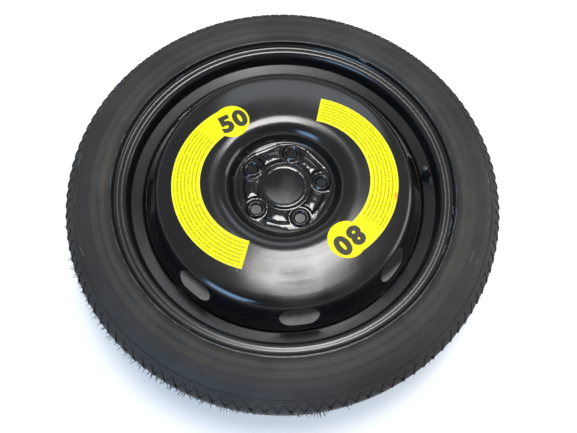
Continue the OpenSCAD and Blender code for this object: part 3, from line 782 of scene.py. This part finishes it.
# the moulded zigzag between the sidewall and the tread, and the fine rings inside it, with the radii
# in millimetres
shoulder = {
    "teeth": 120, "path": [304.0, 306.8, 309.4, 311.4, 313.0], "width": 1.7 * mm, "height": 2.6 * mm,
    "rings": [296.6, 299.2, 303.4], "ringHalf": 0.4 * mm, "ringHeight": 0.35 * mm, "ringSteps": 240,
}


def addShoulder(side, name):
    bm = bmesh.new()
    pitch = 360 / shoulder["teeth"]
    # out along the path and back again makes one tooth
    path = [wallPoint(r * mm, 0, side) for r in shoulder["path"] + shoulder["path"][-2::-1]]
    for k in range(shoulder["teeth"]):
        points = []
        for i, (point, up) in enumerate(path):
            turned = Matrix.Rotation(math.radians((k + i / (len(path) - 1)) * pitch), 4, "Z")
            points.append((turned @ point, turned @ up))
        for (start, up), (end, _) in zip(points, points[1:]):
            layBar(bm, start, end, up, shoulder["width"], shoulder["height"])
    for r in shoulder["rings"]:
        point, normal = wallPoint(r * mm, 0, side)
        along = normal.cross(yAxis).normalized() * shoulder["ringHalf"]
        out = normal * shoulder["ringHeight"]
        spinOutline(bm, [p.xz for p in (point - along, point + out, point + along, point - out)],
                    shoulder["ringSteps"])
    addPiece(name, bm, tyreRubber, smooth=False)


addShoulder(1, "shoulder_zigzag_outer")
addShoulder(-1, "shoulder_zigzag_inner")
print("shoulder done")

# plain moulded hatching on the sidewalls: inner and outer radius, first and last angle, step
hatching = {
    "width": 0.9 * mm, "height": 0.7 * mm,
    "outer": [
        (286, 292.5, -22, 24, 1.25), (284.5, 289.5, 236, 330, 1.5), (262, 265.5, 232, 292, 1.0),
        (289, 294, 150, 168, 0.8), (289, 294, 174, 199, 0.8), (263, 266, 100, 128, 1.0),
    ],
    "inner": [(286, 292.5, 40, 110, 1.25), (286, 292.5, 220, 290, 1.25), (262, 265.5, 130, 200, 1.0)],
}


def addHatching(side, name, bands):
    bm = bmesh.new()
    width, height = hatching["width"], hatching["height"]
    for low, high, first, last, step in bands:
        (inner, up), (outer, _) = (wallPoint(r * mm, 0, side) for r in (low, high))
        for k in range(int((last - first) / step) + 1):
            turned = Matrix.Rotation(math.radians(first + k * step), 4, "Z")
            layBar(bm, turned @ inner, turned @ outer, turned @ up, width, height)
    addPiece(name, bm, tyreRubber, smooth=False)


addHatching(1, "sidewall_hatching_outer", hatching["outer"])
addHatching(-1, "sidewall_hatching_inner", hatching["inner"])
print("hatching done")

# whiskers of rubber left by the mould's vents, most of them on the near side: rows as height on the
# tread in millimetres and step in degrees, and kept as the share of each row that is still there
whiskers = {
    "seed": 7, "rows": [(40, 1.0), (30, 0.8), (8, 0.8), (-16, 0.8), (-34, 0.7)], "jitter": 0.4,
    "nearFrom": 203, "nearTo": 283, "kept": 0.9, "keptElsewhere": 0.03, "lean": 0.55,
    "thick": 0.55 * mm, "thin": 0.25 * mm, "sides": 4, "shortest": 2.5 * mm, "longest": 8.5 * mm,
    "sunk": 0.5 * mm, "stub": 1.5 * mm, "room": 0.25 * mm, "rayFrom": 400 * mm,
}


def addWhiskers():
    pick = random.Random(whiskers["seed"])
    limits = [limit - whiskers["room"] for limit in (tyreReach, tyreReach, tyreHalf)]
    bm = bmesh.new()
    for height, step in whiskers["rows"]:
        for k in range(int(360 / step)):
            turn = k * step + pick.uniform(-1, 1) * whiskers["jitter"] * step
            near = whiskers["nearFrom"] < turn < whiskers["nearTo"]
            length = pick.uniform(whiskers["shortest"], whiskers["longest"])
            lean = Vector([pick.uniform(-1, 1) for _ in range(3)]) * whiskers["lean"]
            if pick.random() > (whiskers["kept"] if near else whiskers["keptElsewhere"]):
                continue
            start = polar(whiskers["rayFrom"], turn, height * mm)
            foot = tyreTree.ray_cast(start, -polar(1, turn))[0]
            out = (polar(1, turn) + lean).normalized()
            foot = foot - out * whiskers["sunk"]
            tip = foot + out * length
            # none reaches past the tyre's box, and what is then too short is left out
            tip = Vector([max(-limit, min(limit, value)) for value, limit in zip(tip, limits)])
            if (tip - foot).length >= whiskers["stub"]:
                layRod(bm, foot, tip, whiskers["thick"], whiskers["thin"], whiskers["sides"])
    addPiece("vent_whiskers", bm, tyreRubber)


addWhiskers()
print("whiskers done")

# beads of spatter along the seam between disc and rim, denser on the near side
spatter = {
    "seed": 3, "seamR": 210.9 * mm, "spread": 0.8 * mm, "near": 80, "nearFrom": 282, "nearTo": 338,
    "allRound": 26, "least": 0.35 * mm, "most": 0.8 * mm, "flatness": 0.8,
}


def addSpatter():
    pick = random.Random(spatter["seed"])
    tree = rayTree(nodes["wheel_disc"], nodes["rim"])
    bm = bmesh.new()
    turns = [pick.uniform(spatter["nearFrom"], spatter["nearTo"]) for _ in range(spatter["near"])]
    turns += [pick.uniform(0, 360) for _ in range(spatter["allRound"])]
    for turn in turns:
        r = spatter["seamR"] + pick.uniform(-1, 1) * spatter["spread"]
        size = pick.uniform(spatter["least"], spatter["most"])
        hit, normal = dropOn(tree, polar(r, turn))
        if hit:
            layDome(bm, hit, normal, size, size * spatter["flatness"])
    addPiece("weld_spatter", bm, weldPaint)


# drips of paint on the hub: radius in millimetres, angle in degrees, size in millimetres
drips = {"at": [(36.2, -5, 2.1), (36.4, 225, 1.9)], "height": 0.8 * mm, "detail": 3}


def addDrips():
    bm = bmesh.new()
    for r, turn, size in drips["at"]:
        hit, normal = dropOn(discTree, polar(r * mm, turn))
        layDome(bm, hit, normal, size * mm, drips["height"], drips["detail"])
    addPiece("paint_drips", bm, discPaint)


addSpatter()
addDrips()
print("spatter and drips done")

# the weld's ripples, laid across the beads that join the disc's skirt to the rim: each runs through
# points that lie inward and up by a share of the bead's leg, and onward by a share of the pitch
ripples = {
    "seed": 5, "pitch": 1.5 * mm, "thick": 0.75 * mm, "sides": 6, "overlap": 0.3 * mm,
    "path": [(0.1, 0.08, 0.0), (0.62, 0.4, 0.7), (0.92, 0.9, 0.0)],
    "swell": (0.85, 1.15), "spacing": (0.9, 1.1), "beadGap": 5,
}


def addRipples():
    pick = random.Random(ripples["seed"])
    mesh = nodes["weld_beads"].data
    low, high = (float(corner[2]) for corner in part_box("weld_beads"))
    reach = max(v.co.xy.length for v in mesh.vertices)
    leg = high - low
    step = math.degrees(ripples["pitch"] / reach)
    turns = sorted(math.degrees(math.atan2(v.co.y, v.co.x)) % 360 for v in mesh.vertices)
    bm = bmesh.new()
    at = 0.0
    for last, turn in zip([-math.inf] + turns, turns + [turns[0] + 360]):
        # the mesh has rows of points all along a bead, so a wide gap is the space between two beads
        if turn - last >= ripples["beadGap"]:
            at = turn + step * 0.5
        while at < turn - step * 0.5:
            points = [polar(reach - leg * inward, at + step * onward, low + leg * up)
                      for inward, up, onward in ripples["path"]]
            for start, end in zip(points, points[1:]):
                thick = ripples["thick"] * pick.uniform(*ripples["swell"])
                layRod(bm, start, end, thick, thick, ripples["sides"], ripples["overlap"])
            at += step * pick.uniform(*ripples["spacing"])
    addPiece("weld_ripples", bm, weldPaint)


addRipples()
print("weld ripples done")

# camera, fitted to the rim's circles and the bolt circle: focus and width in picture points
camera = {
    "focus": 462, "width": 577, "sensor": 36, "distance": 0.705, "elevation": 69.0, "roll": 2.97,
    "aim": (0.0086, -0.037, 0.0),
}


def addCamera():
    up, roll = math.radians(camera["elevation"]), math.radians(camera["roll"])
    back = Vector((0, -math.cos(up), math.sin(up)))
    top = back.cross(xAxis)
    imageRight = xAxis * math.cos(roll) + top * math.sin(roll)
    imageUp = top * math.cos(roll) - xAxis * math.sin(roll)
    data = bpy.data.cameras.new("camera")
    data.sensor_width = camera["sensor"]
    data.sensor_fit = "HORIZONTAL"
    data.lens = camera["focus"] / camera["width"] * camera["sensor"]
    obj = bpy.data.objects.new("camera", data)
    turned = Matrix((imageRight, imageUp, back)).transposed().to_4x4()
    obj.matrix_world = Matrix.Translation(Vector(camera["aim"]) + back * camera["distance"]) @ turned
    bpy.context.scene.collection.objects.link(obj)
    bpy.context.scene.camera = obj


addCamera()
bpy.context.scene.view_settings.view_transform = "Standard"
print("camera done")

# the room around: brightness overhead and along the walls, the height over which one becomes the
# other, and a darker part above the near side
room = {
    "ceiling": 0.42, "wall": 0.6, "wallTop": (0.12, 0.45),
    "darkSide": (0.0, -0.55, 0.835), "darkEdge": (0.82, 0.97), "darkShare": 0.75,
}


def addRoom():
    world = bpy.data.worlds.new("studio")
    bpy.context.scene.world = world
    g = Graph(world, "BACKGROUND", "Generated")
    seenByCamera, seen = g.rays()
    low = 1 - g.z.size().step(*room["wallTop"])
    x, y, z = room["darkSide"]
    dark = (g.x * x + g.y * y + g.z * z).step(*room["darkEdge"]) * room["darkShare"]
    dim = (room["ceiling"] + low * (room["wall"] - room["ceiling"])) * (1 - dark)
    # metal shows white walls, and the camera sees white all round
    bright = dim + seen * low * (1 - room["wall"])
    g.set(Color=(1, 1, 1, 1), Strength=bright + seenByCamera * (1 - bright))


# lamps that face the wheel's middle: place, width, depth, power and colour
lamps = {
    "overhead": ((0.1, 0.36, 2.0), 0.5, 0.7, 24, (1, 0.98, 0.96)),
    "farWindow": ((0.15, 2.1, 2.25), 1.8, 0.7, 9, (0.86, 0.93, 1)),
    "skyWindow": ((-1.1, -1.65, 1.55), 1.0, 1.1, 32, (0.35, 0.61, 1)),
    "rightWall": ((2.4, 0.2, 0.9), 1.6, 0.8, 14, (1, 1, 1)),
}


def addLamps():
    for name, (place, width, depth, power, colour) in lamps.items():
        data = bpy.data.lights.new(name, "AREA")
        data.shape, data.size, data.size_y = "RECTANGLE", width, depth
        data.energy, data.color = power, colour
        obj = bpy.data.objects.new(name, data)
        obj.location = place
        obj.rotation_euler = (-Vector(place)).to_track_quat("-Z", "Y").to_euler()
        bpy.context.scene.collection.objects.link(obj)


# white paper, and the darker floor under the wheel that shows through the bore and the vents, partly a
# dark concrete floor and partly painted shade:
# the lifts are light of its own, seen by the camera and in metal alone; on the paper they keep it evenly
# white, and under the wheel they are painted light, a glow standing in for the light that falls through
# the bore and the vents
paper = {
    "size": 12.0, "colour": (0.89, 0.87, 0.83), "stained": (0.9, 0.885, 0.86), "lift": 0.19,
    "farEdge": (0.8, 2.5), "farLift": 0.8,
    # painted shade: the darker colours under the wheel are partly a dark concrete floor and partly shade
    # painted in
    "shadedGround": (0.24, 0.235, 0.23), "grit": (0.18, 0.172, 0.165), "groundEdge": (0.235, 0.275),
    "groundLift": 0.21, "darkLift": 0.14, "boreEdge": (0.07, 0.09), "boreLight": (0.0, 0.055),
    "ventLight": (-0.188, -0.172), "ventBend": 2.6, "rough": 0.8,
}


def paperMaterial():
    g = newGraph("floorPaper")
    seenByCamera, seen = g.rays()
    under = 1 - g.radius().step(*paper["groundEdge"])
    white = g.mix(g.noise(3, 3) * 0.4, paper["colour"], paper["stained"])
    # partly a dark concrete floor with grit, partly painted shade
    shadedGround = g.mix(g.noise(70, 5, 0.7).step(0.35, 0.7), paper["shadedGround"], paper["grit"])
    grain = 0.65 + g.noise(55, 5, 0.75).step(0.35, 0.75) * 0.35
    # painted light: the near half of what the bore shows glows as if lit, and so does the floor below
    # the near vents, with a weaker painted glow on the rest under the wheel
    bore = (1 - g.y.step(*paper["boreLight"])) * (1 - g.radius().step(*paper["boreEdge"]))
    vents = 1 - (g.y - g.x * g.x * paper["ventBend"]).step(*paper["ventLight"])
    paintedLight = bore.most(vents).most(paper["darkLift"])
    lift = seen * ((1 - under) * paper["lift"] + under * grain * paintedLight * paper["groundLift"])
    lift = lift + seenByCamera * g.radius().step(*paper["farEdge"]) * paper["farLift"]
    return g.set(Base_Color=g.mix(under, white, shadedGround), Roughness=paper["rough"] + g.noise(300) * 0.1,
                 Emission_Color=g.mix(lift, (0.0, 0.0, 0.0), (1.0, 1.0, 1.0)), Emission_Strength=1.0)


def addFloor():
    bm = bmesh.new()
    bmesh.ops.create_grid(bm, x_segments=1, y_segments=1, size=paper["size"])
    bmesh.ops.translate(bm, verts=bm.verts, vec=(0, 0, cadBox[0][2]))
    mesh = bpy.data.meshes.new("floor")
    bm.to_mesh(mesh)
    bm.free()
    mesh.materials.append(paperMaterial())
    floor = bpy.data.objects.new("floor", mesh)
    bpy.context.scene.collection.objects.link(floor)


addRoom()
addLamps()
addFloor()
print("room, lamps and floor done")
